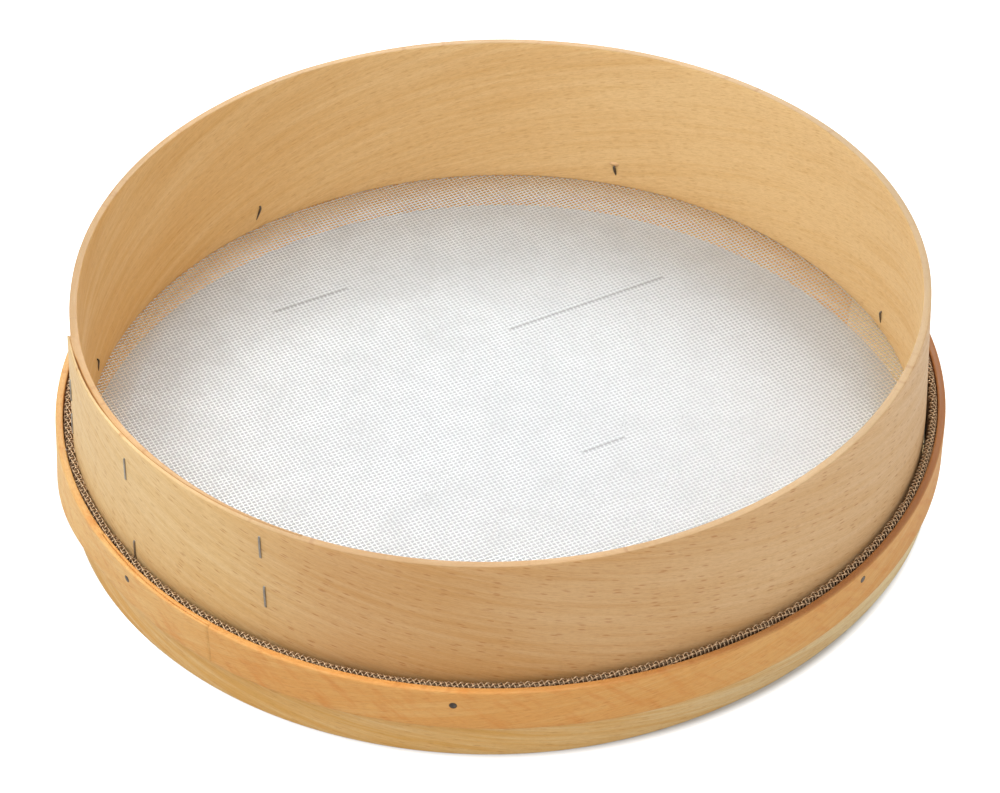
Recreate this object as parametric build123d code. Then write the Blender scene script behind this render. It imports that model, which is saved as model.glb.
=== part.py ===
from build123d import *
import math
import os

# A drum sieve: three bent beech hoops that clamp a disc of woven wire cloth.
# The tall drum hoop stands on the cloth, and the cloth's edge is turned up outside it and rolled.
# The foot hoop holds the turned-up edge against the drum, and the clamp hoop goes round the foot.
# Seven clinched nails go through all of them. Six staples close the lap of the drum.
# Angles are in degrees from +X towards +Y, so the front of the sieve is at 270.
# Lengths are in millimetres. The origin is under the middle of the foot's resting edge.

# Drum hoop
drum_diameter = 400.0
drum_wall = 3.6
drum_height = 82.6
drum_lap_step = 1.0
drum_lap_end = 192.0
drum_lap_angle = 53.0
rim_bevel = 0.8

# Foot hoop
foot_wall = 3.6
foot_height = 38.0
foot_lap_end = 5.0
foot_lap_angle = 22.0

# Clamp hoop
clamp_wall = 3.6
clamp_height = 21.6
clamp_rise = 5.3
clamp_lap_end = 232.4
clamp_lap_angle = -22.0
clamp_bevel = 0.8

# What all hoops share
lap_tip = 1.0
lap_crack = 0.15
edge_bevel = 0.4
slip = 0.05
overrun = 2.0

# Wire cloth
cloth_height = 22.5
cloth_thickness = 0.9
net_pitch = 27.0
net_wire_share = 0.22
net_margin = 4.0
net_angle = 27.0
hem_diameter = 4.4
hem_sides = 8

# Nails through the hoops
nail_angles = (17.6, 71.3, 128.5, 171.3, 218.3, 264.2, 319.2)
nail_drop = 8.0
nail_diameter = 1.5
nail_sides = 6
nail_head_diameter = 3.6
nail_head_thickness = 0.9
nail_head_rise = 0.25
nail_bend = 1.1
nail_clinch = 6.4
nail_point = 2.2
nail_point_share = 0.2
nail_clearance = 0.05

# Staples through the drum's lap: how far along the lap each one is, and how far up the room above the hem
staple_place_shares = {
    "outer_top": (0.026, 0.597),
    "outer_low": (0.026, 0.153),
    "middle_top": (0.443, 0.803),
    "middle_low": (0.443, 0.02),
    "inner_top": (0.906, 0.893),
    "inner_low": (0.906, 0.342),
}
staple_margin = 0.8
staple_width = 12.5
staple_wire_width = 1.2
staple_wire_thickness = 0.8
staple_rise = 0.35
staple_leg = 3.2
staple_bend = 0.8
staple_clearance = 0.03

# Radii, each built on the last
drum_radius = drum_diameter / 2
drum_inner_radius = drum_radius - drum_wall
skirt_inner_radius = drum_radius + drum_lap_step + slip
skirt_outer_radius = skirt_inner_radius + cloth_thickness
foot_inner_radius = skirt_outer_radius + slip
foot_radius = foot_inner_radius + foot_wall
clamp_inner_radius = foot_radius + slip
clamp_radius = clamp_inner_radius + clamp_wall

# Heights
cloth_top = cloth_height + cloth_thickness
drum_top = cloth_top + drum_height
clamp_top = foot_height + clamp_rise
clamp_bottom = clamp_top - clamp_height
nail_height = clamp_top - nail_drop
hem_top = foot_height + hem_diameter
lowest_staple = hem_top + staple_margin + staple_width / 2
highest_staple = drum_top - staple_margin - staple_width / 2


def polar(angle, radius):
    """The point at an angle and a radius."""
    turn = math.radians(angle)
    return (radius * math.cos(turn), radius * math.sin(turn))


def blend(start, end, share):
    """A value between start and end."""
    return start + (end - start) * share


def drift_arc(start_angle, start_radius, end_angle, end_radius):
    """An arc whose radius drifts from one end to the other, as a lapped strip does."""
    middle_angle = blend(start_angle, end_angle, 0.5)
    middle_radius = blend(start_radius, end_radius, 0.5)
    return ThreePointArc(
        polar(start_angle, start_radius), polar(middle_angle, middle_radius), polar(end_angle, end_radius)
    )


def hoop_section(radius, wall, step, lap_end, lap_angle, inset):
    """The plan of a strip bent into a hoop, with its thinned ends lapped.

    lap_end is where the outer end stops, and lap_angle is the way from there to the inner end.
    The outer end stands proud by step, and the inner end is let in flush.
    inset draws the outer and inner faces in by that much, for a bevelled edge.
    """
    way = math.copysign(1, lap_angle)
    inner_end = lap_end + lap_angle
    crack_turn = way * math.degrees(lap_crack / radius)
    outer_shoulder = lap_end - crack_turn
    inner_shoulder = inner_end + crack_turn
    outside = radius - inset
    inside = radius - wall + inset
    crack_start = radius + step - lap_tip
    crack_end = radius - wall + lap_tip
    under_layer_start = min(crack_start, outside) - lap_crack
    under_layer_end = crack_end - lap_crack
    round_the_outside = way * 360 + outer_shoulder - inner_end
    round_the_inside = inner_shoulder - inner_end - way * 360
    with BuildSketch() as plan:
        with BuildLine():
            drift_arc(lap_end, outside + step, inner_end, outside)
            CenterArc((0, 0), outside, inner_end, round_the_outside)
            Line(polar(outer_shoulder, outside), polar(outer_shoulder, under_layer_start))
            drift_arc(outer_shoulder, under_layer_start, inner_end, under_layer_end)
            Line(polar(inner_end, under_layer_end), polar(inner_end, inside))
            CenterArc((0, 0), inside, inner_end, round_the_inside)
            Line(polar(inner_shoulder, inside), polar(inner_shoulder, crack_end))
            drift_arc(inner_shoulder, crack_end, lap_end, crack_start)
            Line(polar(lap_end, crack_start), polar(lap_end, outside + step))
        make_face()
    return plan.sketch


def bent_hoop(radius, wall, step, lap_end, lap_angle, bottom, top, low_bevel, high_bevel):
    """A hoop between two heights, with bevelled edges."""
    full = hoop_section(radius, wall, step, lap_end, lap_angle, 0)
    low = hoop_section(radius, wall, step, lap_end, lap_angle, low_bevel)
    high = hoop_section(radius, wall, step, lap_end, lap_angle, high_bevel)
    wall_solid = extrude(Pos(0, 0, bottom + low_bevel) * full, top - high_bevel - bottom - low_bevel)
    low_edge = loft([Pos(0, 0, bottom) * low, Pos(0, 0, bottom + low_bevel) * full], ruled=True)
    high_edge = loft([Pos(0, 0, top - high_bevel) * full, Pos(0, 0, top) * high], ruled=True)
    return wall_solid + low_edge + high_edge


def cloth_net():
    """The flat of the wire cloth, its weave drawn as one holed net of far wider gaps than the real ones."""
    gap = net_pitch * (1 - net_wire_share)
    reach = drum_inner_radius - net_margin - gap * math.sqrt(2) / 2
    count = 2 * math.floor(drum_inner_radius / net_pitch) + 1
    places = [place for place in GridLocations(net_pitch, net_pitch, count, count) if place.position.length <= reach]
    with BuildSketch() as net:
        Circle(skirt_inner_radius)
        with Locations(*[Rot(0, 0, net_angle) * place for place in places]):
            Rectangle(gap, gap, mode=Mode.SUBTRACT)
    return extrude(Pos(0, 0, cloth_height) * net.sketch, cloth_thickness)


def turned_up_hem():
    """The cloth's edge, turned up between the drum and the foot and rolled on the foot's upper edge."""
    roll_radius = hem_diameter / 2
    roll_height = foot_height + roll_radius
    half_side = 180 / hem_sides
    with BuildSketch(Plane.XZ) as section:
        with Locations((skirt_inner_radius, cloth_height)):
            Rectangle(cloth_thickness, roll_height - cloth_height, align=(Align.MIN, Align.MIN))
        with Locations((skirt_inner_radius + roll_radius, roll_height)):
            RegularPolygon(roll_radius, hem_sides, major_radius=False, rotation=half_side)
    return revolve(section.sketch, Axis.Z)


def nail_shank(growth):
    """The many-sided outline of a nail's shank, grown by growth."""
    return RegularPolygon(nail_diameter / 2 + growth, nail_sides)


def nail_head(height, growth):
    """A nail's round head, grown by growth, reaching outwards along X from its underside."""
    underside = clamp_radius + nail_head_rise - nail_head_thickness
    outward = Plane(origin=(underside - growth, 0, nail_height), z_dir=(1, 0, 0))
    return extrude(outward * Circle(nail_head_diameter / 2 + growth), height)


def nail_seat(angle, growth):
    """The room for a nail's head and straight shank, from outside the clamp to inside the drum."""
    shank_start = drum_inner_radius - overrun
    outward = Plane(origin=(shank_start, 0, nail_height), z_dir=(1, 0, 0))
    shank = extrude(outward * nail_shank(growth), clamp_radius - shank_start)
    return Rot(0, 0, angle) * (nail_head(nail_head_thickness + overrun, growth) + shank)


def clinched_nail(angle):
    """A nail driven from outside, with its point bent down along the drum's inner face."""
    bend_start = drum_inner_radius - nail_diameter / 4
    clinch_radius = bend_start - nail_bend
    point_top = nail_height - nail_clinch + nail_point
    route = Polyline(
        (clamp_radius, 0, nail_height),
        (bend_start, 0, nail_height),
        (clinch_radius, 0, nail_height - nail_bend),
        (clinch_radius, 0, point_top),
    )
    shank = sweep(Plane(origin=route @ 0, z_dir=route % 0) * nail_shank(0), path=route, transition=Transition.RIGHT)
    tip = Plane(origin=route @ 1, z_dir=route % 1)
    sharp = scale(nail_shank(0), nail_point_share)
    point = loft([tip * nail_shank(0), tip.offset(nail_point) * sharp], ruled=True)
    return Rot(0, 0, angle) * (nail_head(nail_head_thickness, 0) + shank + point)


def drum_surface(lap_share):
    """The radius of the drum's outer face, a share of the way along its lap."""
    return drum_radius + drum_lap_step * (1 - lap_share)


def lap_staple(lap_share, height_share, growth):
    """A flat-wire staple with an upright crown on the drum's outer face and two legs into the lap.

    lap_share is how far it is along the lap, and height_share how far up between the hem and the rim.
    """
    crown = drum_surface(lap_share) + staple_rise
    length = staple_leg + 2 * growth
    with BuildSketch(Plane.XZ.offset(-staple_wire_width / 2 - growth)) as outline:
        with Locations((crown + growth, 0)):
            Rectangle(length, staple_width + 2 * growth, align=(Align.MAX, Align.CENTER))
        fillet(outline.vertices().group_by(Axis.X)[-1], staple_bend)
        with Locations((crown - staple_wire_thickness - growth, 0)):
            Rectangle(
                length, staple_width - 2 * (staple_wire_thickness + growth),
                align=(Align.MAX, Align.CENTER), mode=Mode.SUBTRACT,
            )
    staple = extrude(outline.sketch, staple_wire_width + 2 * growth)
    angle = drum_lap_end + drum_lap_angle * lap_share
    return Rot(0, 0, angle) * Pos(0, 0, blend(lowest_staple, highest_staple, height_share)) * staple


def save(shape, node):
    """Writes one piece and prints its size."""
    export_step(shape, f"parts/{node}.step")
    print(node, "valid", shape.is_valid, "solids", len(shape.solids()), "volume", round(shape.volume, 1))


os.makedirs("parts", exist_ok=True)

seats = [nail_seat(angle, nail_clearance) for angle in nail_angles]
grooves = [lap_staple(*shares, staple_clearance) for shares in staple_place_shares.values()]

drum_hoop = bent_hoop(
    drum_radius, drum_wall, drum_lap_step, drum_lap_end, drum_lap_angle, cloth_top, drum_top, edge_bevel, rim_bevel
)
foot_hoop = bent_hoop(
    foot_radius, foot_wall, 0, foot_lap_end, foot_lap_angle, 0, foot_height, edge_bevel, edge_bevel
)
clamp_hoop = bent_hoop(
    clamp_radius, clamp_wall, 0, clamp_lap_end, clamp_lap_angle, clamp_bottom, clamp_top, edge_bevel, clamp_bevel
)
save(drum_hoop - seats - grooves, "drum_hoop")
save(foot_hoop - seats, "foot_hoop")
save(clamp_hoop - seats, "clamp_hoop")
save(cloth_net(), "wire_cloth")
save(turned_up_hem() - seats, "cloth_hem")
for number, angle in enumerate(nail_angles, start=1):
    save(clinched_nail(angle), f"hoop_nail_{number}")
for name, shares in staple_place_shares.items():
    save(lap_staple(*shares, 0), f"lap_staple_{name}")

print("overall width", round(2 * clamp_radius, 2), "height", round(drum_top, 2))
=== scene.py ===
import math
import bpy
import numpy as np
from mathutils import Matrix, Vector


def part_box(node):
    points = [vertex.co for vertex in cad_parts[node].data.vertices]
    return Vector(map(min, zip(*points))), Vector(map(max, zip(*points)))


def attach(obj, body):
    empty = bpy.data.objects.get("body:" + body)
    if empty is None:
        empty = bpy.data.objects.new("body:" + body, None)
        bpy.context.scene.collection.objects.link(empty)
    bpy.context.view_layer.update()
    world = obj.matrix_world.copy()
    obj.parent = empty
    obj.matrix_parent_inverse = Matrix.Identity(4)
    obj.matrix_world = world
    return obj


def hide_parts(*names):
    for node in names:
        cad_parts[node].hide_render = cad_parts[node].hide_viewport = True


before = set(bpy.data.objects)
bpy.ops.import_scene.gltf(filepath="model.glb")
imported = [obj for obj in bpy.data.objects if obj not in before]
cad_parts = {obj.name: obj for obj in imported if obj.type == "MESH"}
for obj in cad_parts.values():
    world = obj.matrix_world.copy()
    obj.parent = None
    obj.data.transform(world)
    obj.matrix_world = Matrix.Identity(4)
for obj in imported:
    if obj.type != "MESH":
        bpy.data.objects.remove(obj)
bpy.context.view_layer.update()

# A drum sieve of three bent beech hoops round a disc of plain woven wire cloth.
# Lengths are in metres. Angles are in degrees from +X towards +Y, so the front is at 270.
MM = 0.001

# Camera: the fitted viewing angle
CAMERA_PLACE = Vector((-1.93, -1075.17, 914.73)) * MM
CAMERA_PITCH = 0.6875
CAMERA_YAW = 0.0019
CAMERA_ROLL = -0.0183
FOCAL_PIXELS = 2927.9
IMAGE_WIDTH = 1000
IMAGE_SHIFT = 0.5
SENSOR_WIDTH = 36.0

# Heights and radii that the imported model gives
DRUM_LOW, DRUM_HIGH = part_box("drum_hoop")
FOOT_LOW, FOOT_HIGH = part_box("foot_hoop")
CLAMP_LOW, CLAMP_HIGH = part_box("clamp_hoop")
CLOTH_LOW, CLOTH_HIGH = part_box("wire_cloth")
_, HEM_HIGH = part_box("cloth_hem")
DRUM_RADIUS = DRUM_HIGH.y
FOOT_RADIUS = FOOT_HIGH.y
CLAMP_RADIUS = CLAMP_HIGH.y
SKIRT_RADIUS = CLOTH_HIGH.y
DRUM_TOP = DRUM_HIGH.z

# Hoops
# Each lap: the angle of the strip's outer end, and the way from there to its inner end.
DRUM_LAP = (192.0, 53.0)
FOOT_LAP = (5.0, 22.0)
CLAMP_LAP = (232.4, -22.0)
WALL = 3.6 * MM
TIP = 1.0 * MM
LAP_STEP = 1.7 * MM
LAP_SLIP = 0.03 * MM
DRUM_CRACK = 0.7 * MM
OTHER_CRACK = 0.1 * MM
# Where the crack of a lap starts, how soon it is open and how soon it closes, in shares of the lap.
CRACK_START_SHARE = 0.05
CRACK_OPENING_SHARE = 0.07
CRACK_CLOSING_SHARE = 0.16
# Half of the step at a lap's end, in degrees.
SHOULDER = 0.02
# The rounding of each hoop's lower and upper edge.
DRUM_ROUNDS = (0.4 * MM, 0.55 * MM)
FOOT_ROUNDS = (0.5 * MM, 0.4 * MM)
CLAMP_ROUNDS = (0.5 * MM, 1.0 * MM)
RIM_RADIUS = 197.8 * MM
DRUM_FLARE = 0.1 * MM
DRUM_STRAIGHT = 44.0 * MM
HOOP_INSET = 0.1 * MM
DENT = 0.05 * MM
EDGE_WAVE = 0.12 * MM
EDGE_WAVE_LENGTH = 413
EDGE_DROP = 0.15 * MM
CORNER_STEPS = 5
CORNER_SHARE = 0.45
# How the rim is out of round: the number of lobes, and the sizes of their cosine and sine in mm.
RIM_LOBES = ((2, -0.87, 0.39), (3, 0.73, 0.78), (1, 0.35, 0.17))
# Each bulge of a hoop: its size in mm, the angle of its middle and its reach to either side.
RIM_BULGES = ((1.0, 203, 24),)
SQUEEZES = ((2.0, 60, 50), (1.5, 110, 80), (1.4, 37, 32))
FOOT_BULGES = ((0.6, 195, 30), (-2.4, 275, 80), (-3.4, 311, 46), (-2.8, 40, 50))
CLAMP_BULGES = ((3.0, 197, 18), (-0.6, 320, 25))

# Wood
# A strip's points store how far along it they are, taken at this radius, how high, and how far out.
STRIP_RADIUS = 0.2
STRIP_LENGTH = 1.45
# Each noise of the wood: its waves per metre along, across and through the strip, its detail and roughness.
BEECH_NOISES = {
    "slow": ((5, 26, 60), 4, 0.6),
    "streak": ((14, 330, 700), 4, 0.65),
    "fibre": ((140, 2600, 3600), 3, 0.6),
    "grain": ((420, 1500, 1500), 3, 0.7),
    "blot": ((45, 190, 300), 4, 0.6),
}
BLOT_TURN = -0.9
# How far the slow noise and the streaks move the tone, and how strong the fibres, grain and dust are.
SLOW_SWING = 0.22
STREAK_SWING = 0.3
FIBRE_STRENGTH = 0.32
GRAIN_STRENGTH = 0.24
DUST_SHARE = 0.4
INNER_FLECK_SHARE = 0.5
# What is left of the deep tone's red, green and blue in the blots, the fibres and the rays.
BLOT_SHADE = (0.9, 0.66, 0.42)
FIBRE_SHADE = (0.62, 0.5, 0.4)
RAY_SHADE = (0.68, 0.47, 0.3)
# The least and the greatest roughness along the streaks.
WOOD_ROUGHNESS = (0.46, 0.66)
WOOD_GLOSS = 0.3
WOOD_RELIEF = 0.12 * MM
RELIEF_STRENGTH = 0.4
# The rays' and the finest dashes' spacing along and across the grain.
RAY_CELL = (10.0 * MM, 1.9 * MM)
DUST_CELL = (6.5 * MM, 1.3 * MM)
RAY_SHARE = 0.5
RAY_FADE = 0.12
FULL_RAY_SHARE = 0.4
# Bleached wood is its own colour times this.
BLEACH = (1.09, 1.16, 1.07, 1)
# The dark ring round a nail's head, partly a stain and partly painted shade of the hole that the head sits
# in: its colour, and where it starts and ends to fade.
STAIN_AND_SHADE = (0.05, 0.03, 0.018, 1)
STAIN_AND_SHADE_INNER = 1.5 * MM
STAIN_AND_SHADE_OUTER = 1.9 * MM
# How far the colour of each hoop's upper edge reaches down.
RIM_DEPTH = 0.7 * MM
FOOT_EDGE_DEPTH = 0.5 * MM
# The clamp's upper edge colour is a painted shadow: the shadow that the drum casts on it at the right.
CLAMP_SHADOW_DEPTH = 1.5 * MM

# Wire cloth
WIRE_RADIUS = 0.29 * MM
WIRE_PITCH = 2.05 * MM
WEAVE_ANGLE = 27.0
WEAVE_SKEW = -0.5
WIRE_SIDES = 6
# How far a wire of each set swings, in wire radii.
CRIMP = {"a": 0.35, "b": 0.7}
UNEVEN = 0.03 * MM
STAIN_LIFT = 0.3 * MM
# Each stained stretch of a wire: its two ends' x and y in mm.
DARK_WIRES = ((4.8, 65.8, 84.1, 101.7), (-112.9, 79.9, -75.8, 99.3), (38.6, -30.0, 58.9, -20.4))
# Each slow swing of the weave: its size, its length per radian along x and along y, and its start.
X_SWINGS = ((0.5 * MM, math.inf, 61 * MM, 1.0), (0.35 * MM, 43 * MM, 90 * MM, 0.0))
Y_SWINGS = ((0.5 * MM, 57 * MM, math.inf, 0.4), (0.35 * MM, -80 * MM, 39 * MM, 0.0))
SLACK_RADIUS = 196 * MM
SAG = 0.35 * MM
BUCKLE = 0.25 * MM
BUCKLE_LENGTHS = (27 * MM, 31 * MM)
# Each noise of a metal, as for the wood.
WIRE_NOISES = {
    "cloth patch": ((60, 60, 60), 3, 0.6),
    "cloth fine": ((2200, 2200, 2200), 2, 0.5),
    "drawn patch": ((70, 70, 70), 3, 0.6),
    "drawn fine": ((2600, 2600, 2600), 2, 0.5),
}
# The wires are darkened towards the right by painted shade, and take a warm tint towards the edge that is a
# painted reflection of the wood round them.
RIGHT_SHADE_FROM = -0.12
RIGHT_SHADE_TO = 0.15
RIGHT_SHADE_SHARE = 0.6
WOOD_REFLECTION_FROM = 0.176
WOOD_REFLECTION_TO = 0.19
WOOD_REFLECTION_SHARE = 0.6
WOOD_REFLECTION_TINT = (1.05, 0.8, 0.52)
STAINED_WIRE = (0.06, 0.06, 0.06, 1)

# Rolled hem
ROLL_RADIUS = 1.6 * MM
ROLL_START = 15.0 * MM
ROLL_TURNS = 0.96
ROLL_LIFT = 0.5 * MM
ROLL_INSET = 0.42 * MM
ROLL_CENTRE = HEM_HIGH.y - ROLL_RADIUS - ROLL_INSET
# The roll's height in roll radii, and how it rises where it is loose: by how much, where and how far.
ROLL_TALL = 1.15
ROLL_LOOSE = (0.5, 303, 55)
HEM_STEPS = 4
HEM_SIDES = 5
HEM_PIECES = 4
HEM_WIRE_RADIUS = 0.33 * MM
HEM_CRIMP = {"a": 1.5, "b": 0.4}
# The layers inside the hem: how far they lie inside the roll, and the skirt's faces and lower edge.
CORE_INSET = 0.6 * MM
CORE_SKIRT_INNER = SKIRT_RADIUS - 0.5 * MM
CORE_SKIRT_OUTER = SKIRT_RADIUS - 0.1 * MM
CORE_LOW = CLOTH_LOW.z + 0.2 * MM
CORE_START = -0.6
CORE_BENDS = 9
CORE_STEPS = 240

# Nails
# Each nail: its angle, its height over the foot, and the lean, length and width of its bent point.
NAILS = (
    (16.8, 34.3, 0.05, 7.4, 0.7), (71.3, 35.6, -0.15, 6.0, 1.0), (128.5, 36.0, 0.4, 7.4, 0.8),
    (171.3, 35.6, 0.0, 7.4, 0.4), (217.4, 36.4, 0.1, 6.0, 1.0), (263.8, 35.3, 0.1, 6.0, 1.0),
    (318.7, 37.6, 0.1, 6.0, 1.0),
)
NAIL_PROUD = 0.12 * MM
HEAD_SIDES = 20
SHANK_SIDES = 12
# The head's profile: pairs of how far out and how wide, in mm.
NAIL_HEAD = ((-0.9, 0.3), (-0.9, 1.3), (-0.3, 1.42), (-0.08, 1.32), (0.02, 0.95), (0.05, 0.2))
# Inside the head, the shank starts this far behind its face.
SHANK_START = 0.8 * MM
# Each ring of the shank, in mm: how far out of the drum's inner face, how far down, and its half thickness
# and half width.
SHANK = ((0.3, 0.0, 0.6, 0.6), (-0.35, 0.1, 0.6, 0.62), (-0.75, 0.5, 0.58, 0.7), (-0.8, 1.2, 0.5, 0.8))
# The rings of the bent point: the same, but how far down is a share of the point's length.
NAIL_POINT = (
    (-0.6, 0.4, 0.4, 0.78), (-0.3, 0.7, 0.32, 0.6), (-0.05, 0.92, 0.16, 0.3), (0.05, 1.0, 0.05, 0.07),
)
# The splinter over one nail's point: half its width, and its section as outward and upward places in mm.
SPLINTER_NAIL = 2
SPLINTER_HALF = 2.6
SPLINTER_STEPS = 13
SPLINTER_SECTION = ((0.2, 0.2), (-0.75, 0.5), (-0.5, 1.6), (0.2, 2.6))
# How far along a strip the splinter's wood is taken from.
SPLINTER_RUN = 0.7

# Staples
# Each staple: its angle, and the height of its middle.
STAPLES = {
    "lap_staple_outer_top": (193.6, 79.0),
    "lap_staple_outer_low": (192.8, 57.4),
    "lap_staple_middle_top": (215.1, 89.4),
    "lap_staple_middle_low": (216.1, 45.2),
    "lap_staple_inner_top": (239.4, 94.1),
    "lap_staple_inner_low": (239.6, 66.6),
}
STAPLE_PROUD = 0.22 * MM
STAPLE_HALF = 5.9 * MM
STAPLE_BEND = 0.9 * MM
STAPLE_LEG = 2.6 * MM
STAPLE_BEND_STEPS = 5
# The wall's slope behind a staple is measured this far over and under its middle.
SLOPE_REACH = 5.0 * MM
# Half of the flat wire's outline: pairs of half thickness and half width, in mm.
STAPLE_OUTLINE = ((0.3, 0.46), (0.4, 0.3), (0.4, -0.3), (0.3, -0.46))

# Light
# Each lamp: its place, the direction and length of its long side, its width and its power.
# Each strip lamp lies along one set of wires and makes the other set shine.
LAMPS = {
    "side_softbox": ((-1.0, -0.22, 1.94), WEAVE_ANGLE, 0.9, 0.9, 18.5),
    "front_fill": ((0.35, -0.9, 1.75), 0.0, 0.8, 0.8, 5.5),
    "top_strip": ((0.38, 1.20, 1.55), WEAVE_ANGLE + 90, 1.2, 0.2, 10.0),
    "back_strip": ((-0.20, 1.53, 1.27), WEAVE_ANGLE, 1.2, 0.2, 14.0),
}
WHITE = (1, 1, 1, 1)
GLOSS_SKY_SHARE = 0.8
SKY_LOW = 0.43
SKY_HIGH = 1.39

# Floor
FLOOR_SIZE = 12.0
FLOOR_COLOUR = (0.53, 0.555, 0.575, 1)
FLOOR_ROUGHNESS = 0.9
FLOOR_GLOW = 0.7
GLOW_FADE = 4.0 * MM

rng = np.random.default_rng(7)


def rad(angle):
    return angle * math.pi / 180


def ease(x):
    """A smooth step from 0 to 1."""
    x = np.clip(x, 0.0, 1.0)
    return x * x * (3 - 2 * x)


def bump(angle, centre, reach):
    """1 at the centre, falling smoothly to 0 at reach on either side, round the circle."""
    gap = np.abs((angle - centre + 180) % 360 - 180)
    return np.cos(np.clip(gap / reach, 0, 1) * math.pi / 2) ** 2


def bulge(angle, bulges):
    """The sum of several bumps whose sizes are in mm."""
    return MM * sum(size * bump(angle, centre, reach) for size, centre, reach in bulges)


def wave(x, seed, count, longest):
    """A smooth random line over x, with a size of about 1. longest is its longest wave."""
    draw = np.random.default_rng(seed)
    total = 0.0
    for k in range(1, count + 1):
        size = draw.normal() / math.sqrt(k)
        start = draw.uniform(0, 6.28)
        total = total + size * np.sin(2 * math.pi * k * x / longest + start)
    return total / math.sqrt(count)


# Meshes
def make_mesh(name, points, faces, place=None):
    """A smooth object from an array of points and a list of arrays of faces.

    Each array has faces of one size. place is stored at each point for the materials.
    """
    mesh = bpy.data.meshes.new(name)
    corners = np.concatenate([np.asarray(group, np.int32).ravel() for group in faces])
    sizes = np.concatenate([np.full(len(group), len(group[0]), np.int32) for group in faces])
    starts = np.concatenate([[0], np.cumsum(sizes)[:-1]]).astype(np.int32)
    mesh.vertices.add(len(points))
    mesh.vertices.foreach_set("co", np.asarray(points, np.float32).ravel())
    mesh.loops.add(len(corners))
    mesh.loops.foreach_set("vertex_index", corners)
    mesh.polygons.add(len(sizes))
    mesh.polygons.foreach_set("loop_start", starts)
    mesh.update(calc_edges=True)
    mesh.polygons.foreach_set("use_smooth", np.ones(len(sizes), bool))
    if place is not None:
        layer = mesh.attributes.new("place", "FLOAT_VECTOR", "POINT")
        layer.data.foreach_set("vector", np.asarray(place, np.float32).ravel())
    mesh.validate()
    obj = bpy.data.objects.new(name, mesh)
    bpy.context.scene.collection.objects.link(obj)
    return obj


def tube_faces(rings, sides, start):
    """The quads of a tube with that many rings, and its two end faces."""
    ring = np.arange(rings - 1)[:, None] * sides
    side = np.arange(sides)[None, :]
    after = (side + 1) % sides
    corners = [ring + side, ring + after, ring + sides + after, ring + sides + side]
    quads = np.stack(corners, -1).reshape(-1, 4)
    first = np.arange(sides)[::-1]
    last = (rings - 1) * sides + np.arange(sides)
    return quads + start, np.stack([first, last]) + start


def round_axis(radius, turn, height):
    """Points at a radius and a height, turned round the axis by an angle in radians."""
    return np.stack([radius * np.cos(turn), radius * np.sin(turn), height], -1)


def dress(obj, material, nodes, body="root"):
    """Gives a piece its material and its body, and hides the nodes that it stands for."""
    obj.data.materials.append(material)
    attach(obj, body)
    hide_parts(*nodes)


# Node trees
def new_tree(name):
    material = bpy.data.materials.new(name)
    material.use_nodes = True
    tree = material.node_tree
    return material, tree, tree.nodes["Principled BSDF"]


def put(tree, socket, value):
    """Links a socket, or sets it to a plain value."""
    if isinstance(value, bpy.types.NodeSocket):
        tree.links.new(value, socket)
    else:
        socket.default_value = value


def add(tree, kind, inputs=(), **settings):
    """A new node with its settings, and its inputs as pairs of a socket's name or number and a value."""
    node = tree.nodes.new("ShaderNode" + kind)
    for name, value in settings.items():
        setattr(node, name, value)
    for socket, value in dict(inputs).items():
        put(tree, node.inputs[socket], value)
    return node


def maths(tree, operation, a, b):
    return add(tree, "Math", {0: a, 1: b}, operation=operation).outputs[0]


def remap(tree, value, low, high, to_low=0.0, to_high=1.0):
    """A value stretched from one range to another and held inside it."""
    settings = {"Value": value, "From Min": low, "From Max": high, "To Min": to_low, "To Max": to_high}
    return add(tree, "MapRange", settings, clamp=True).outputs[0]


def mix(tree, share, a, b, way="MIX"):
    node = add(tree, "Mix", {0: share, 6: a, 7: b}, data_type="RGBA", blend_type=way)
    return node.outputs[2]


def tinted(tree, colour, tint):
    return mix(tree, 1.0, colour, tint, "MULTIPLY")


def shade(colour, red, green, blue):
    """A plain colour with its three channels scaled."""
    return (colour[0] * red, colour[1] * green, colour[2] * blue, 1)


def own_place(tree):
    """A point's place in the object's own frame."""
    return add(tree, "TexCoord").outputs["Object"]


def stored_place(tree):
    """What make_mesh has stored at a point, as three numbers and as a whole."""
    stored = add(tree, "Attribute", attribute_name="place").outputs["Vector"]
    return add(tree, "SeparateXYZ", {0: stored}).outputs, stored


def stretched(tree, place, scale, turn):
    """A place scaled by three numbers, after a turn in the plane of the strip's face."""
    turned = add(tree, "Mapping", {"Vector": place, "Rotation": (0, 0, turn)}).outputs[0]
    return add(tree, "Mapping", {"Vector": turned, "Scale": scale}).outputs[0]


def noise(tree, place, layer, turn=0.0):
    """A noise from its waves per metre along three axes, its detail and its roughness."""
    scale, detail, roughness = layer
    at = stretched(tree, place, scale, turn)
    settings = {"Vector": at, "Scale": 1.0, "Detail": detail, "Roughness": roughness}
    return add(tree, "TexNoise", settings).outputs[0]


def near_any(tree, spots, inner, outer):
    """1 near any of the spots, falling to 0 between two distances."""
    place = own_place(tree)
    total = None
    for spot in spots:
        gap = add(tree, "VectorMath", {0: place, 1: spot}, operation="DISTANCE").outputs["Value"]
        near = remap(tree, gap, inner, outer, 1.0, 0.0)
        total = near if total is None else maths(tree, "MAXIMUM", total, near)
    return total


def ramp(tree, value, stops):
    """A value drawn through a row of stops, each a place and a level."""
    node = add(tree, "ValToRGB", {0: value})
    points = node.color_ramp.elements
    while len(points) < len(stops):
        points.new(0.5)
    for point, (place, level) in zip(points, stops):
        point.position = place
        point.color = (level, level, level, 1.0)
    return add(tree, "SeparateColor", {0: node.outputs[0]}).outputs[0]


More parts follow.
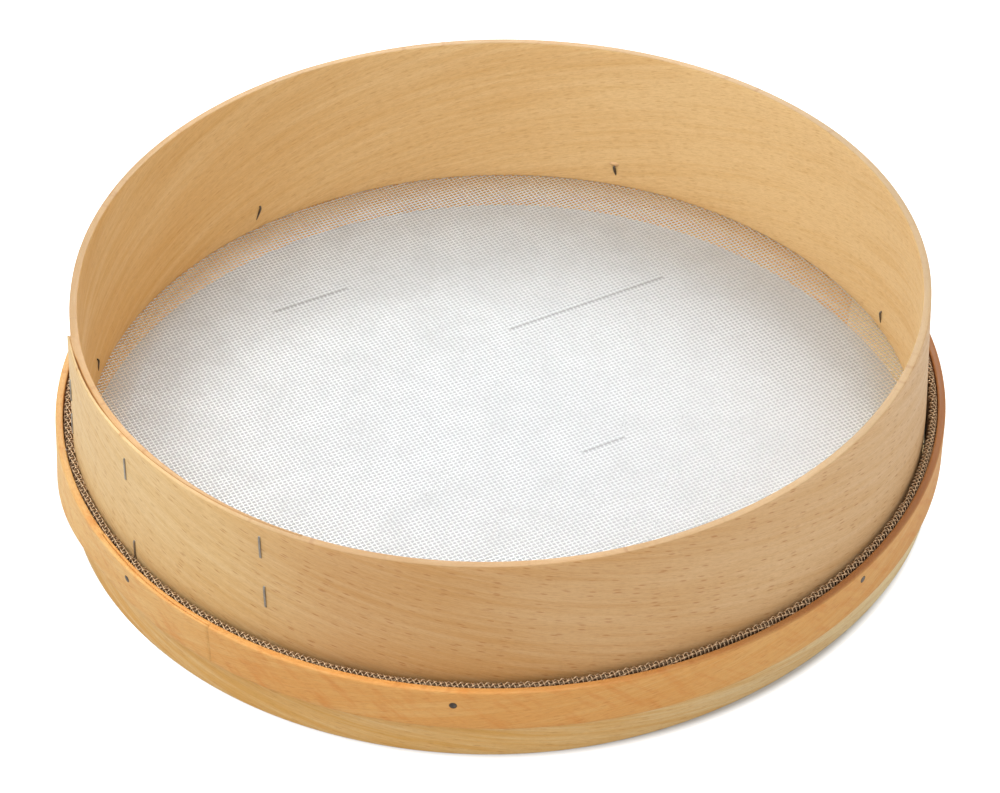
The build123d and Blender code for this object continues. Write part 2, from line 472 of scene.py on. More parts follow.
def rays(tree, place, tilt, cell, low):
    """Short dashes along the grain, in some of its cells.

    cell is the cells' spacing along and across the grain, and low how far a dash is dark in its cell.
    """
    at = stretched(tree, place, (1 / cell[0], 1 / cell[1], 1), tilt)
    cells = add(tree, "TexVoronoi", {"Vector": at, "Scale": 1.0}, voronoi_dimensions="2D")
    chance = add(tree, "SeparateColor", {0: cells.outputs["Color"]}).outputs[0]
    dash = remap(tree, cells.outputs["Distance"], low, low + RAY_FADE, 1.0, 0.0)
    kept = remap(tree, chance, 1 - RAY_SHARE, 1 - RAY_SHARE * FULL_RAY_SHARE)
    return maths(tree, "MULTIPLY", dash, kept)


def edged(tree, colour, along, height, edge):
    """The wood's colour with that of its upper edge laid over it.

    edge is the upper edge's height, how deep its colour reaches, that colour, and the stops of its strength
    along the strip.
    """
    top, depth, edge_colour, stops = edge
    near = remap(tree, height, top - depth, top)
    share = maths(tree, "MULTIPLY", near, ramp(tree, along, stops))
    return mix(tree, share, colour, edge_colour)


def beech(name, pale, deep, tilt, seed, drift, edge, inside, fleck, mottle=0.0, stained=(), bleached=()):
    """Planed beech along a strip: slow tone changes, fibres and short dark rays, all along the grain.

    tilt turns the grain. drift and bleached hold stops along the strip: of the tone, and of how bleached the
    wood is. inside tints the face towards the axis: painted light where it lightens and painted shade where
    it darkens. fleck is the strength of the rays and mottle that of the blots. stained are the spots that
    get a dark ring, partly a stain and partly painted shade of the hole round a nail's head.
    """
    material, tree, shader = new_tree(name)
    (run, height, out), strip = stored_place(tree)
    shift = (seed, seed * 0.37, 0)
    place = add(tree, "VectorMath", {0: strip, 1: shift}, operation="ADD").outputs[0]
    slow = noise(tree, place, BEECH_NOISES["slow"], tilt)
    streak = noise(tree, place, BEECH_NOISES["streak"], tilt)
    fibre = noise(tree, place, BEECH_NOISES["fibre"], tilt)
    grain = noise(tree, place, BEECH_NOISES["grain"], tilt)
    ray = rays(tree, place, tilt, RAY_CELL, 0.1)
    dust = rays(tree, place, tilt, DUST_CELL, 0.08)
    along = remap(tree, run, 0.0, STRIP_LENGTH)
    slow_shift = remap(tree, slow, 0.3, 0.7, -SLOW_SWING, SLOW_SWING)
    streak_shift = remap(tree, streak, 0.3, 0.72, -STREAK_SWING, STREAK_SWING)
    tone = maths(tree, "ADD", ramp(tree, along, drift), slow_shift)
    tone = maths(tree, "ADD", tone, streak_shift)
    colour = mix(tree, remap(tree, tone, 0.0, 1.0), pale, deep)
    if mottle:
        blot = noise(tree, place, BEECH_NOISES["blot"], tilt + BLOT_TURN)
        colour = mix(tree, remap(tree, blot, 0.5, 0.68, 0.0, mottle), colour, shade(deep, *BLOT_SHADE))
    darker = shade(deep, *FIBRE_SHADE)
    colour = mix(tree, remap(tree, fibre, 0.42, 0.78, 0.0, FIBRE_STRENGTH), colour, darker)
    colour = mix(tree, remap(tree, grain, 0.45, 0.75, 0.0, GRAIN_STRENGTH), colour, darker)
    colour = mix(tree, maths(tree, "MULTIPLY", dust, fleck * DUST_SHARE), colour, darker)
    # The rays show less on the face towards the axis.
    inner_face = remap(tree, out, -0.93 * WALL, -0.99 * WALL)
    strength = remap(tree, inner_face, 0.0, 1.0, fleck, fleck * INNER_FLECK_SHARE)
    colour = mix(tree, maths(tree, "MULTIPLY", ray, strength), colour, shade(deep, *RAY_SHADE))
    # The tint on the face towards the axis is painted light where it lightens and painted shade where it
    # darkens.
    colour = mix(tree, inner_face, colour, tinted(tree, colour, inside))
    if bleached:
        colour = mix(tree, ramp(tree, along, bleached), colour, tinted(tree, colour, BLEACH))
    # On the clamp, the upper edge's colour is a painted shadow.
    colour = edged(tree, colour, along, height, edge)
    # A dark ring round each nail head: partly a stain, partly painted shade of its hole.
    if stained:
        colour = mix(tree, near_any(tree, stained, STAIN_AND_SHADE_INNER, STAIN_AND_SHADE_OUTER), colour, STAIN_AND_SHADE)
    put(tree, shader.inputs["Base Color"], colour)
    put(tree, shader.inputs["Roughness"], remap(tree, streak, 0.3, 0.8, *WOOD_ROUGHNESS))
    fibre_height = maths(tree, "MULTIPLY", fibre, 0.7)
    ray_depth = maths(tree, "MULTIPLY", ray, 0.5)
    relief = maths(tree, "SUBTRACT", fibre_height, ray_depth)
    settings = {"Strength": RELIEF_STRENGTH, "Distance": WOOD_RELIEF, "Height": relief}
    put(tree, shader.inputs["Normal"], add(tree, "Bump", settings).outputs[0])
    shader.inputs["Specular IOR Level"].default_value = WOOD_GLOSS
    return material


def polish(tree, shader, colour, fine, metallic, roughness):
    """The end of a metal: its colour, how metallic it is, and a roughness that follows a fine noise."""
    put(tree, shader.inputs["Base Color"], colour)
    shader.inputs["Metallic"].default_value = metallic
    put(tree, shader.inputs["Roughness"], remap(tree, fine, 0.3, 0.8, roughness, roughness + 0.2))


def woven_metal(name, bright, dull, roughness, metallic, stain):
    """Wire of a cloth: a painted highlight where it rises over the next one, and painted shade where it
    dives.

    stain is how dark a stained wire is.
    """
    material, tree, shader = new_tree(name)
    (lift, stained, _), _ = stored_place(tree)
    place = own_place(tree)
    patch = noise(tree, place, WIRE_NOISES["cloth patch"])
    fine = noise(tree, place, WIRE_NOISES["cloth fine"])
    # Painted highlight on the crests of the crimp and painted shade in its dips.
    rise = remap(tree, lift, -0.5, 0.5)
    rise = maths(tree, "ADD", rise, remap(tree, patch, 0.3, 0.7, -0.15, 0.15))
    colour = mix(tree, remap(tree, rise, 0.25, 0.8), dull, bright)
    colour = mix(tree, remap(tree, fine, 0.5, 0.8, 0.0, 0.4), colour, dull)
    # Painted shade: the wires grow darker towards the right.
    across = add(tree, "SeparateXYZ", {0: place}).outputs[0]
    colour = mix(tree, remap(tree, across, RIGHT_SHADE_FROM, RIGHT_SHADE_TO, 0.0, RIGHT_SHADE_SHARE), colour, dull)
    # Painted reflection: a warm tint towards the edge, for the wood that the wires there reflect.
    flat = add(tree, "VectorMath", {0: place, 1: (1, 1, 0)}, operation="MULTIPLY").outputs[0]
    radius = add(tree, "VectorMath", {0: flat}, operation="LENGTH").outputs["Value"]
    wood_reflection = remap(tree, radius, WOOD_REFLECTION_FROM, WOOD_REFLECTION_TO, 0.0, WOOD_REFLECTION_SHARE)
    colour = mix(tree, wood_reflection, colour, shade(dull, *WOOD_REFLECTION_TINT))
    colour = mix(tree, maths(tree, "MULTIPLY", stained, stain), colour, STAINED_WIRE)
    polish(tree, shader, colour, fine, metallic, roughness)
    return material


def wire_metal(name, bright, dull, roughness):
    """Drawn wire, a little dull in places."""
    material, tree, shader = new_tree(name)
    place = own_place(tree)
    patch = noise(tree, place, WIRE_NOISES["drawn patch"])
    fine = noise(tree, place, WIRE_NOISES["drawn fine"])
    colour = mix(tree, remap(tree, patch, 0.35, 0.7), bright, dull)
    colour = mix(tree, remap(tree, fine, 0.5, 0.8, 0.0, 0.5), colour, dull)
    polish(tree, shader, colour, fine, 1.0, roughness)
    return material


# Camera
def make_camera():
    flat = Vector((math.sin(CAMERA_YAW), math.cos(CAMERA_YAW), 0))
    forward = flat * math.cos(CAMERA_PITCH) - Vector((0, 0, math.sin(CAMERA_PITCH)))
    level = Vector((math.cos(CAMERA_YAW), -math.sin(CAMERA_YAW), 0))
    upward = level.cross(forward)
    right = level * math.cos(CAMERA_ROLL) + upward * math.sin(CAMERA_ROLL)
    up = upward * math.cos(CAMERA_ROLL) - level * math.sin(CAMERA_ROLL)
    data = bpy.data.cameras.new("camera")
    data.sensor_width = SENSOR_WIDTH
    data.lens = FOCAL_PIXELS * SENSOR_WIDTH / IMAGE_WIDTH
    data.shift_x = -IMAGE_SHIFT / IMAGE_WIDTH
    camera = bpy.data.objects.new("camera", data)
    turn = Matrix((right, up, -forward)).transposed().to_4x4()
    camera.matrix_world = Matrix.Translation(CAMERA_PLACE) @ turn
    bpy.context.scene.collection.objects.link(camera)
    bpy.context.scene.camera = camera


# Hoops
def squeeze(angle):
    """How far the whole sieve is pushed in at the back, where it is out of round."""
    return bulge(angle, SQUEEZES)


def drum_radius(angle, height):
    """The drum's outer radius: upright at its foot, drawn in and a little out of round at the rim."""
    turn = rad(angle)
    lobes = sum(cosine * np.cos(n * turn) + sine * np.sin(n * turn) for n, cosine, sine in RIM_LOBES)
    rim = RIM_RADIUS + MM * lobes + bulge(angle, RIM_BULGES)
    foot = DRUM_RADIUS + DRUM_FLARE - squeeze(angle)
    share = np.clip((height - DRUM_STRAIGHT) / (DRUM_TOP - DRUM_STRAIGHT), 0, 1)
    dents = DENT * wave(angle, 3, 40, 360) * share
    return foot + (rim - foot) * share + dents


def foot_radius(angle, height):
    """The foot's outer radius: lower down it is pulled in at the front and the right."""
    share = 1 - ease(height / CLAMP_LOW.z)
    round_radius = FOOT_RADIUS - HOOP_INSET - squeeze(angle)
    return round_radius + bulge(angle, FOOT_BULGES) * share + DENT * wave(angle, 21, 30, 360)


def clamp_radius(angle, height):
    """The clamp's outer radius: its lower edge stands off at the left and is pulled in at the right."""
    share = 1 - (height - CLAMP_LOW.z) / (CLAMP_HIGH.z - CLAMP_LOW.z)
    round_radius = CLAMP_RADIUS - HOOP_INSET - squeeze(angle)
    return round_radius + bulge(angle, CLAMP_BULGES) * share + DENT * wave(angle, 22, 30, 360)


def lap_faces(along, span, step, crack):
    """How far a strip's outer and inner face lie outside the plain hoop's outer face, along the strip.

    span is the lap's angle. step is how far the outer end stands proud. crack is the widest gap between the
    layers and the share of the lap where it closes.
    """
    widest, closed_share = crack
    outer_layer = along < span
    inner_layer = along > 360
    share = np.where(inner_layer, along - 360, along) / span
    scarf = (step - TIP) + share * (2 * TIP - step - WALL)
    opening = ease((share - CRACK_START_SHARE) / CRACK_OPENING_SHARE)
    closing = ease((share - closed_share + CRACK_CLOSING_SHARE) / CRACK_CLOSING_SHARE)
    gap = widest * opening * (1 - closing) + LAP_SLIP
    outer = np.where(outer_layer, step * (1 - share), np.where(inner_layer, scarf - gap, 0.0))
    inner = np.where(outer_layer, scarf, -WALL)
    return outer, inner


def corner(face, inward, edge, upward, radius, turns):
    """A rounded corner between a face and an edge, with the ways from them into the strip."""
    return [
        (face + inward * radius * (1 - math.cos(a)), edge + upward * radius * (1 - math.sin(a)))
        for a in turns
    ]


def strip_section(outer, inner, bottom, top, edges, rows):
    """The outline of a strip's section, as arrays of how far out and how high its corners lie.

    edges are the rounding radii of the lower and the upper edges. rows is the number of points up each face.
    """
    low_round = np.minimum(edges[0], CORNER_SHARE * (outer - inner))
    high_round = np.minimum(edges[1], CORNER_SHARE * (outer - inner))
    plain = top - bottom - low_round - high_round
    quarter = np.linspace(0, math.pi / 2, CORNER_STEPS)
    loop = [(outer, bottom + low_round + plain * row) for row in np.linspace(0, 1, rows)]
    loop += corner(outer, -1, top, -1, high_round, quarter[1:])
    loop += corner(inner, 1, top, -1, high_round, quarter[::-1])
    loop += [(inner, bottom + low_round + plain * row) for row in np.linspace(1, 0, rows)[1:]]
    loop += corner(inner, 1, bottom, 1, low_round, quarter[1:])
    loop += corner(outer, -1, bottom, 1, low_round, quarter[::-1][:-1])
    return np.stack([out for out, _ in loop], 1), np.stack([high for _, high in loop], 1)


def bent_strip(name, radius_at, bottom, top, lap, step, crack, edges, rows, turn_step):
    """A strip bent into a hoop, from its outer end round to its inner end, with rounded long edges.

    radius_at gives the hoop's outer radius at an angle and a height, and turn_step is the angle between two
    sections. The rest is as in lap_faces and strip_section.
    """
    lap_end, lap_angle = lap
    way = math.copysign(1, lap_angle)
    span = abs(lap_angle)
    shoulders = [span - SHOULDER, span + SHOULDER, 360 - SHOULDER, 360 + SHOULDER, 360 + span]
    along = np.sort(np.concatenate([np.arange(0, 360 + span, turn_step), shoulders]))
    outer, inner = lap_faces(along, span, step, crack)
    offset, height = strip_section(outer, inner, bottom, top, edges, rows)
    # The upper edge is a little wavy.
    upper = np.clip((height - bottom) / (top - bottom), 0, 1) ** 8
    edge_wave = EDGE_WAVE * wave(along, 11, 24, EDGE_WAVE_LENGTH)
    height = height + (edge_wave[:, None] - EDGE_DROP) * upper
    angle = (lap_end + way * along)[:, None]
    points = round_axis(radius_at(angle, height) + offset, rad(angle), height).reshape(-1, 3)
    run = np.broadcast_to(rad(along)[:, None] * STRIP_RADIUS, offset.shape)
    strip = np.stack([run, height, offset], -1).reshape(-1, 3)
    quads, ends = tube_faces(*offset.shape, 0)
    if way < 0:
        quads = quads[:, ::-1]
        ends = ends[:, ::-1]
    return make_mesh(name, points, [quads, ends], strip)


# Wire cloth
def swing(x, y, swings):
    """The sum of several slow swings over a plane."""
    return sum(
        size * np.sin(x / x_length + y / y_length + start)
        for size, x_length, y_length, start in swings
    )


def weave_places(reach):
    """Where the two sets of wires cross, as far as reach, with the small faults of a stretched cloth."""
    count = int(reach / WIRE_PITCH) + 2
    steps = np.arange(-count, count + 1)
    first = rad(WEAVE_ANGLE)
    second = rad(WEAVE_ANGLE + 90 + WEAVE_SKEW)
    # Wire number i of set A lies i pitches across. Wire number j of set B lies j pitches along.
    i, j = np.meshgrid(steps, steps, indexing="ij")
    across = i * WIRE_PITCH + UNEVEN * rng.normal(size=len(steps))[:, None]
    along = j * WIRE_PITCH + UNEVEN * rng.normal(size=len(steps))[None, :]
    x = along * math.cos(first) + across * math.cos(second)
    y = along * math.sin(first) + across * math.sin(second)
    x = x + swing(x, y, X_SWINGS)
    y = y + swing(x, y, Y_SWINGS)
    over = np.where((i + j) % 2 == 0, 1.0, -1.0)
    return x, y, over


def stained_places(x, y):
    """1 on the stretches of set A's wires that are stained dark, else 0."""
    stained = np.zeros(x.shape)
    for x1, y1, x2, y2 in DARK_WIRES:
        gap = np.hypot(x - (x1 + x2) / 2 * MM, y - (y1 + y2) / 2 * MM)
        row = np.unravel_index(np.argmin(gap), gap.shape)[0]
        stained[row] = np.where((x[row] > x1 * MM) & (x[row] < x2 * MM), 1.0, stained[row])
    return stained


def cloth_surface(x, y, lift):
    """A flat place and a height above the cloth's middle, put on the slightly slack cloth."""
    free = 1 - ease(np.hypot(x, y) / SLACK_RADIUS)
    buckle = BUCKLE * np.sin(x / BUCKLE_LENGTHS[0] + 0.7) * np.sin(y / BUCKLE_LENGTHS[1])
    middle = (CLOTH_LOW.z + CLOTH_HIGH.z) / 2
    return np.stack([x, y, middle + free * (buckle - SAG) + lift], -1)


def roll_height(angle):
    """Half the height of the roll, which is loose and stands up at the front right."""
    size, centre, reach = ROLL_LOOSE
    return ROLL_RADIUS * (ROLL_TALL + size * bump(angle, centre, reach))


def hem_surface(x, y, lift):
    """The same, past the fold: up the skirt and round the roll that lies on the foot hoop's upper edge."""
    turn = np.arctan2(y, x)
    angle = np.degrees(turn)
    bend = (np.hypot(x, y) - SKIRT_RADIUS - ROLL_START) / ROLL_RADIUS
    radius = ROLL_CENTRE - (ROLL_RADIUS + lift) * np.cos(bend) - squeeze(angle)
    height = FOOT_HIGH.z + ROLL_LIFT + roll_height(angle) * (1 + np.sin(bend)) + lift * np.sin(bend)
    return round_axis(radius, turn, height)


def wire_rings(weave, row, run, surface, wire, steps, sides):
    """The rings of one wire along a run of crossings, and the lift in mm and the stain at each point."""
    thick, crimp = wire
    x, y, over, stained = weave
    ring = np.linspace(0, 2 * math.pi, sides, endpoint=False)
    fine = np.linspace(run[0], run[-1], (len(run) - 1) * steps + 1)
    cx = np.interp(fine, run, x[row][run])
    cy = np.interp(fine, run, y[row][run])
    dark = np.interp(fine, run, stained[row][run])
    crimped = over[row][run[0]] * np.cos(math.pi * (fine - run[0])) * thick * crimp
    way = np.stack([np.gradient(cx), np.gradient(cy)], 1)
    way /= np.linalg.norm(way, axis=1)[:, None]
    px = cx[:, None] - way[:, 1:] * np.cos(ring) * thick
    py = cy[:, None] + way[:, :1] * np.cos(ring) * thick
    pz = (crimped + dark * STAIN_LIFT)[:, None] + np.sin(ring) * thick
    places = np.stack([pz / MM, dark[:, None] + 0 * pz, 0 * pz], -1)
    return surface(px, py, pz), places


def wires(name, weave, inside, surface, wire, steps, pieces, sides):
    """Tubes along the rows of a weave, kept where inside is true, as several objects.

    wire is its radius, and how far it swings in wire radii. steps is the number of rings per crossing.
    """
    rows = len(inside)
    found = []
    for piece in range(pieces):
        points, places, quads, ends = [], [], [], []
        total = 0
        for row in range(rows * piece // pieces, rows * (piece + 1) // pieces):
            kept = np.flatnonzero(inside[row])
            for run in np.split(kept, np.flatnonzero(np.diff(kept) > 1) + 1):
                if len(run) < 2:
                    continue
                rings, stored = wire_rings(weave, row, run, surface, wire, steps, sides)
                tube, caps = tube_faces(len(rings), sides, total)
                points.append(rings.reshape(-1, 3))
                places.append(stored.reshape(-1, 3))
                quads.append(tube)
                ends.append(caps)
                total += len(rings) * sides
        if points:
            faces = [np.concatenate(quads), np.concatenate(ends)]
            found.append(make_mesh(
                f"{name}_{piece + 1}", np.concatenate(points), faces, np.concatenate(places)
            ))
    return found


def hem_core():
    """The hem's inner layers: a skirt behind the foot and a tight roll, dark between the wires as painted
    shade.
    """
    turns = np.linspace(0, 2 * math.pi, CORE_STEPS, endpoint=False)[:, None]
    angle = np.degrees(turns)
    tall = roll_height(angle)
    # Each corner of the section: its radius and its height.
    loop = [(CORE_SKIRT_INNER, CORE_LOW), (CORE_SKIRT_OUTER, CORE_LOW), (CORE_SKIRT_OUTER, FOOT_HIGH.z)]
    for bend in np.linspace(CORE_START, math.pi, CORE_BENDS):
        out = ROLL_CENTRE + (ROLL_RADIUS - CORE_INSET) * math.cos(bend)
        rise = tall + (tall - CORE_INSET) * math.sin(bend)
        loop.append((out, FOOT_HIGH.z + ROLL_LIFT + rise))
    radius = np.concatenate([out + 0 * turns for out, _ in loop], 1) - squeeze(angle)
    height = np.concatenate([high + 0 * turns for _, high in loop], 1)
    points = round_axis(radius, turns, height).reshape(-1, 3)
    count = len(loop)
    ring = np.arange(CORE_STEPS)[:, None] * count
    after = (np.arange(CORE_STEPS)[:, None] + 1) % CORE_STEPS * count
    side = np.arange(count)[None, :]
    beside = (side + 1) % count
    corners = [ring + side, after + side, after + beside, ring + beside]
    quads = np.stack(corners, -1).reshape(-1, 4)
    return make_mesh("hem_core", points, [quads])


# Nails and staples
def at_angle(points, angle):
    """Points given as outward, sideways and up, turned to an angle round the axis."""
    out, side, up = np.asarray(points, float).T
    c, s = math.cos(rad(angle)), math.sin(rad(angle))
    return np.stack([out * c - side * s, out * s + side * c, up], 1)


def directions(path):
    """The unit direction at each point of a path in a plane."""
    way = np.gradient(path, axis=0)
    return way / np.linalg.norm(way, axis=1)[:, None]


def lathe(profile, sides):
    """A turned form about the outward direction: profile is pairs of outward place and radius."""
    ring = np.linspace(0, 2 * math.pi, sides, endpoint=False)
    rows = [np.stack([np.full(sides, x), r * np.cos(ring), r * np.sin(ring)], 1) for x, r in profile]
    return np.concatenate(rows)


def nail(number, angle, height, lean, length, broad):
    """A clinched nail: a small worn head outside, and a point bent down and hammered in inside."""
    face = clamp_radius(angle, height) + NAIL_PROUD
    inner = drum_radius(angle, height) - WALL
    points = [lathe([(face + out * MM, wide * MM) for out, wide in NAIL_HEAD], HEAD_SIDES)]
    quads, ends = tube_faces(len(NAIL_HEAD), HEAD_SIDES, 0)
    rings = [((face - inner - SHANK_START) / MM, 0.0, *SHANK[0][2:]), *SHANK]
    rings += [(out, share * length, thick, wide) for out, share, thick, wide in NAIL_POINT]
    centre = np.array([(inner + out * MM, lean * drop * MM, -drop * MM) for out, drop, _, _ in rings])
    turn = np.linspace(0, 2 * math.pi, SHANK_SIDES, endpoint=False)[:, None]
    for spot, (wx, wz), (_, _, thick, wide) in zip(centre, directions(centre[:, [0, 2]]), rings):
        up = np.array([-wz, 0, wx]) * thick
        across = np.array([0, 1, 0]) * wide * broad
        points.append(spot + MM * (np.cos(turn) * up + np.sin(turn) * across))
    tube_quads, tube_ends = tube_faces(len(rings), SHANK_SIDES, len(NAIL_HEAD) * HEAD_SIDES)
    points = at_angle(np.concatenate(points) + [0, 0, height], angle)
    return make_mesh(f"nail_{number}", points, [np.concatenate([quads, tube_quads]), ends, tube_ends])


def splinter(number, angle, height):
    """The wood fibres that a nail's point has pushed up above it."""
    inner = drum_radius(angle, height) - WALL
    across = np.linspace(-SPLINTER_HALF, SPLINTER_HALF, SPLINTER_STEPS)
    rows = []
    for side in across:
        crest = (1 - (side / SPLINTER_HALF) ** 2) * (1 + 0.25 * math.sin(side * 5))
        for out, up in SPLINTER_SECTION:
            # Only what stands out of the wood follows the crest.
            rows.append((out * crest if out < 0 else out, side, up))
    points = np.array(rows) * MM + [inner, 0, height]
    quads, ends = tube_faces(len(across), len(SPLINTER_SECTION), 0)
    place = np.stack([points[:, 1] + SPLINTER_RUN, points[:, 2], points[:, 0]], 1)
    return make_mesh(f"splinter_{number}", at_angle(points, angle), [quads, ends], place)


def staple(name, angle, height):
    """A staple of flat wire: a crown along the wall with round shoulders, and legs that go in."""
    lap_share = (angle - DRUM_LAP[0]) / DRUM_LAP[1]
    surface = drum_radius(angle, height) + LAP_STEP * (1 - lap_share) + STAPLE_PROUD
    over = drum_radius(angle, height + SLOPE_REACH)
    under = drum_radius(angle, height - SLOPE_REACH)
    slope = (over - under) / (2 * SLOPE_REACH)
    turns = np.linspace(0, math.pi / 2, STAPLE_BEND_STEPS)
    upper = [(-STAPLE_LEG, STAPLE_HALF)]
    for a in turns:
        upper.append((-STAPLE_BEND * (1 - math.sin(a)), STAPLE_HALF - STAPLE_BEND * (1 - math.cos(a))))
    route = np.array(upper + [(x, -z) for x, z in upper[::-1]])
    outline = STAPLE_OUTLINE + tuple((-thick, -wide) for thick, wide in STAPLE_OUTLINE)
    rows = []
    for (x, z), (wx, wz) in zip(route, directions(route)):
        out = np.array([-wz, 0, wx])
        for thick, wide in outline:
            rows.append(np.array([x, 0, z]) + MM * (out * thick + np.array([0, wide, 0])))
    points = np.array(rows)
    points[:, 0] += surface + slope * points[:, 2]
    points[:, 2] += height
    quads, ends = tube_faces(len(route), len(outline), 0)
    return make_mesh(name + "_wire", at_angle(points, angle), [quads, ends])


# Stage
def make_stage():
    """A wide pale floor that shows white to the eye but keeps the sieve's shadow."""
    bpy.ops.mesh.primitive_plane_add(size=FLOOR_SIZE, location=(0, 0, 0))
    floor = bpy.context.object
    floor.name = "floor"
    material, tree, shader = new_tree("floor_paint")
    shader.inputs["Base Color"].default_value = FLOOR_COLOUR
    shader.inputs["Roughness"].default_value = FLOOR_ROUGHNESS
    shader.inputs["Emission Color"].default_value = WHITE
    # The glow that keeps the background white starts outside the sieve.
    out = add(tree, "VectorMath", {0: own_place(tree)}, operation="LENGTH").outputs["Value"]
    glow = remap(tree, out, FOOT_RADIUS - GLOW_FADE, FOOT_RADIUS, 0.0, FLOOR_GLOW)
    seen = add(tree, "LightPath").outputs["Is Camera Ray"]
    put(tree, shader.inputs["Emission Strength"], maths(tree, "MULTIPLY", seen, glow))
    floor.data.materials.append(material)


def make_sky():
    """A white sky that is brighter overhead than at the horizon, and plain white to the eye."""
    world = bpy.data.worlds.new("sky")
    bpy.context.scene.world = world
    world.use_nodes = True
    tree = world.node_tree
    seen = add(tree, "LightPath")
    direction = add(tree, "TexCoord").outputs["Generated"]
    upward = add(tree, "SeparateXYZ", {0: direction}).outputs[2]
    sky = remap(tree, upward, 0.0, 1.0, SKY_LOW, SKY_HIGH)
    gloss = remap(tree, seen.outputs["Is Glossy Ray"], 0.0, 1.0, 1.0, GLOSS_SKY_SHARE)
    sky = maths(tree, "MULTIPLY", sky, gloss)
    choice = {0: seen.outputs["Is Camera Ray"], 2: sky, 3: 1.0}
    strength = add(tree, "Mix", choice, data_type="FLOAT").outputs[0]
    background = tree.nodes["Background"]
    put(tree, background.inputs["Strength"], strength)
    background.inputs["Color"].default_value = WHITE


def make_lamps():
    """Soft lamps that face the sieve."""
    for name, (place, way, length, width, power) in LAMPS.items():
        lamp = bpy.data.lights.new(name, "AREA")
        lamp.shape = "RECTANGLE"
        lamp.size = length
        lamp.size_y = width
        lamp.energy = power
        back = Vector(place).normalized()
        side = back.cross(Vector((math.cos(rad(way)), math.sin(rad(way)), 0))).normalized()
        turn = Matrix((side.cross(back), side, back)).transposed().to_4x4()
        softbox = bpy.data.objects.new(name, lamp)
        softbox.matrix_world = Matrix.Translation(place) @ turn
        bpy.context.scene.collection.objects.link(softbox)


bpy.context.scene.view_settings.view_transform = "Standard"
make_camera()
make_stage()
make_sky()
make_lamps()

# Drum
# The tone, the bleached part and the strength of the rim's colour are rows of stops along the strip.
drum_drift = (
    (0.0, 0.1), (0.08, 0.3), (0.17, 0.9), (0.27, 0.3), (0.5, 0.0), (0.68, 0.4), (0.82, 0.95), (1.0, 0.7),
)
drum_bleach = ((0.0, 1.0), (0.1, 0.9), (0.14, 0.0))
rim_stops = (
    (0.0, 0.75), (0.05, 0.42), (0.12, 0.7), (0.3, 0.75), (0.36, 1.0), (0.46, 1.0), (0.55, 0.7), (0.75, 0.7),
    (0.82, 0.95), (0.88, 0.75), (0.92, 0.42), (0.98, 0.7),
)
# Its inside tint lightens the drum's inner face: painted light.
drum_wood = beech(
    "drum_beech", pale=(0.72, 0.47, 0.24, 1), deep=(0.60, 0.32, 0.113, 1), tilt=rad(13), seed=0.3,
    drift=drum_drift, edge=(DRUM_TOP, RIM_DEPTH, (0.25, 0.18, 0.098, 1), rim_stops),
    inside=(1.15, 1.22, 1.14, 1), fleck=0.55, bleached=drum_bleach,
)
drum = bent_strip(
    "drum_strip", drum_radius, DRUM_LOW.z, DRUM_TOP, DRUM_LAP, LAP_STEP, crack=(DRUM_CRACK, 0.38),
    edges=DRUM_ROUNDS, rows=14, turn_step=0.5,
)
dress(drum, drum_wood, ["drum_hoop"])

# Foot
foot_drift = (
    (0.0, 0.76), (0.3, 0.85), (0.45, 0.88), (0.62, 0.9), (0.7, 0.55), (0.8, 0.1), (0.88, 0.0), (0.97, 0.6),
)
everywhere = ((0.0, 1.0), (1.0, 1.0))
# Its inside tint lightens the foot's inner face: painted light for the light that comes down through the
# cloth.
foot_wood = beech(
    "foot_beech", pale=(0.97, 0.79, 0.46, 1), deep=(0.77, 0.42, 0.11, 1), tilt=rad(8), seed=9.7,
    drift=foot_drift, edge=(FOOT_HIGH.z, FOOT_EDGE_DEPTH, (0.70, 0.50, 0.25, 1), everywhere),
    inside=(1.25, 1.2, 1.1, 1), fleck=0.35,
)
foot = bent_strip(
    "foot_strip", foot_radius, FOOT_LOW.z, FOOT_HIGH.z, FOOT_LAP, 0.0, crack=(OTHER_CRACK, 0.5),
    edges=FOOT_ROUNDS, rows=10, turn_step=0.75,
)
dress(foot, foot_wood, ["foot_hoop"])

# Clamp
clamp_drift = (
    (0.0, 0.7), (0.04, 0.4), (0.09, 0.12), (0.14, 0.12), (0.22, 0.5), (0.3, 0.74), (0.62, 0.94),
    (0.7, 0.75), (0.77, 1.0), (0.81, 1.0), (0.86, 0.85),
)
# Where along the clamp its upper edge takes the painted shadow that the drum casts on it.
clamp_edge_shadow = (
    (0.0, 0.0), (0.05, 0.1), (0.1, 0.38), (0.2, 0.38), (0.3, 0.0), (0.45, 0.0), (0.52, 1.0), (0.68, 1.0),
    (0.76, 0.3), (0.8, 0.0),
)
nail_spots = [
    Vector(at_angle([[clamp_radius(angle, height * MM), 0, height * MM]], angle)[0])
    for angle, height, _, _, _ in NAILS
]
# Its inside tint darkens the clamp's inner face, which shows above the hem roll: painted shade.
clamp_wood = beech(
    "clamp_beech", pale=(0.80, 0.52, 0.20, 1), deep=(0.72, 0.345, 0.092, 1), tilt=rad(10), seed=5.1,
    drift=clamp_drift, edge=(CLAMP_HIGH.z, CLAMP_SHADOW_DEPTH, (0.25, 0.09, 0.025, 1), clamp_edge_shadow),
    inside=(0.4, 0.25, 0.15, 1), fleck=0.3, mottle=0.5, stained=nail_spots,
)
clamp = bent_strip(
    "clamp_strip", clamp_radius, CLAMP_LOW.z, CLAMP_HIGH.z, CLAMP_LAP, 0.0, crack=(OTHER_CRACK, 0.5),
    edges=CLAMP_ROUNDS, rows=8, turn_step=0.75,
)
dress(clamp, clamp_wood, ["clamp_hoop"])

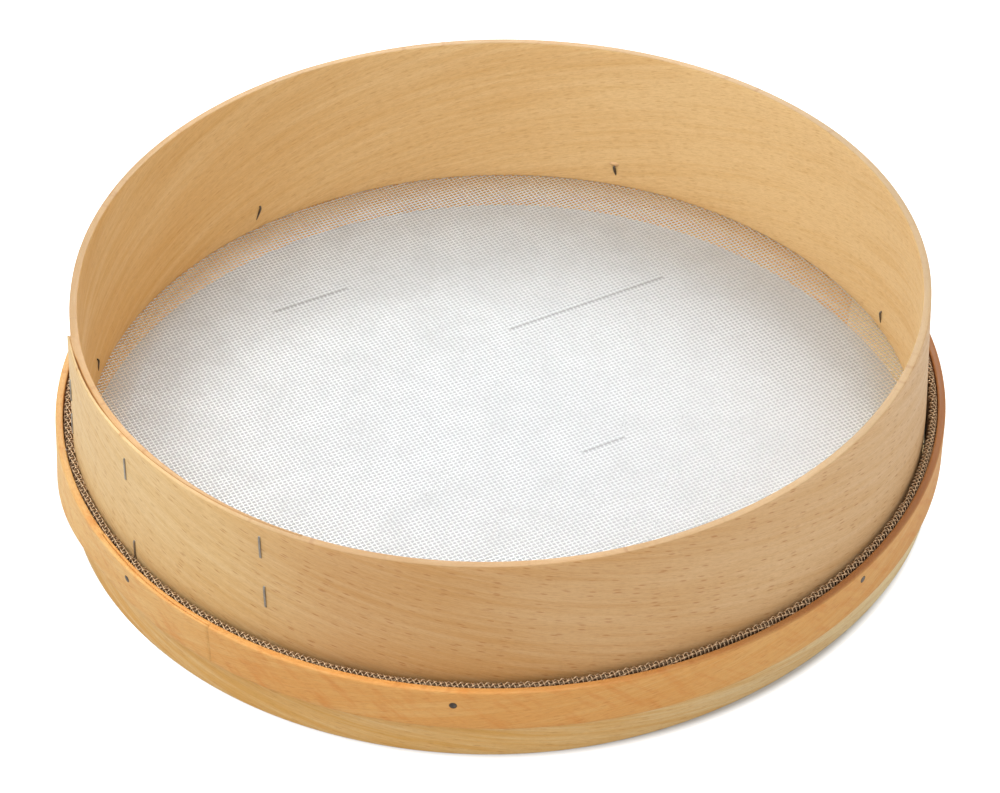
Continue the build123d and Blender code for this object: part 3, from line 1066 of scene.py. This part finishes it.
# Wire cloth and its hem
cloth_metal = woven_metal(
    "cloth_wire", bright=(0.92, 0.955, 0.965, 1), dull=(0.65, 0.67, 0.675, 1), roughness=0.26, metallic=0.6,
    stain=0.5,
)
hem_metal = woven_metal(
    "hem_wire", bright=(0.92, 0.78, 0.56, 1), dull=(0.46, 0.36, 0.26, 1), roughness=0.35, metallic=0.6,
    stain=0.0,
)
# The hem core's dark colour is painted shade for the inner layers of the roll, seen between its wires.
core_metal = wire_metal("hem_core_wire", (0.30, 0.21, 0.13, 1), (0.14, 0.09, 0.05, 1), 0.5)
hem_reach = SKIRT_RADIUS + ROLL_START + ROLL_TURNS * 2 * math.pi * ROLL_RADIUS
wx, wy, over = weave_places(hem_reach)
dark = stained_places(wx, wy)
out = np.hypot(wx, wy)
flat = out < SKIRT_RADIUS
rolled = (out > SKIRT_RADIUS + ROLL_START) & (out < hem_reach)
weave_a = (wx, wy, over, dark)
weave_b = (wx.T, wy.T, -over.T, 0 * dark)
# Each set of wires: its weave, where it is flat and where rolled, and the flat part's rings per crossing and
# number of pieces.
wire_sets = {
    "a": (weave_a, flat, rolled, 1, 5),
    "b": (weave_b, flat.T, rolled.T, 2, 7),
}
for letter, (weave, in_flat, in_roll, steps, pieces) in wire_sets.items():
    wire = (WIRE_RADIUS, CRIMP[letter])
    name = f"cloth_wires_{letter}"
    for piece in wires(name, weave, in_flat, cloth_surface, wire, steps, pieces, WIRE_SIDES):
        dress(piece, cloth_metal, ["wire_cloth"])
    wire = (HEM_WIRE_RADIUS, HEM_CRIMP[letter])
    name = f"hem_wires_{letter}"
    for piece in wires(name, weave, in_roll, hem_surface, wire, HEM_STEPS, HEM_PIECES, HEM_SIDES):
        dress(piece, hem_metal, ["cloth_hem"])
dress(hem_core(), core_metal, ["cloth_hem"])

# Nails and staples
nail_metal = wire_metal("nail_steel", (0.26, 0.23, 0.20, 1), (0.09, 0.07, 0.055, 1), 0.4)
staple_metal = wire_metal("staple_steel", (0.52, 0.48, 0.42, 1), (0.22, 0.19, 0.155, 1), 0.33)
for number, (angle, height, lean, length, broad) in enumerate(NAILS, start=1):
    piece = nail(number, angle, height * MM, lean, length, broad)
    dress(piece, nail_metal, [f"hoop_nail_{number}"])
angle, height = NAILS[SPLINTER_NAIL - 1][:2]
dress(splinter(SPLINTER_NAIL, angle, height * MM), drum_wood, [])
for name, (angle, height) in STAPLES.items():
    dress(staple(name, angle, height * MM), staple_metal, [name])
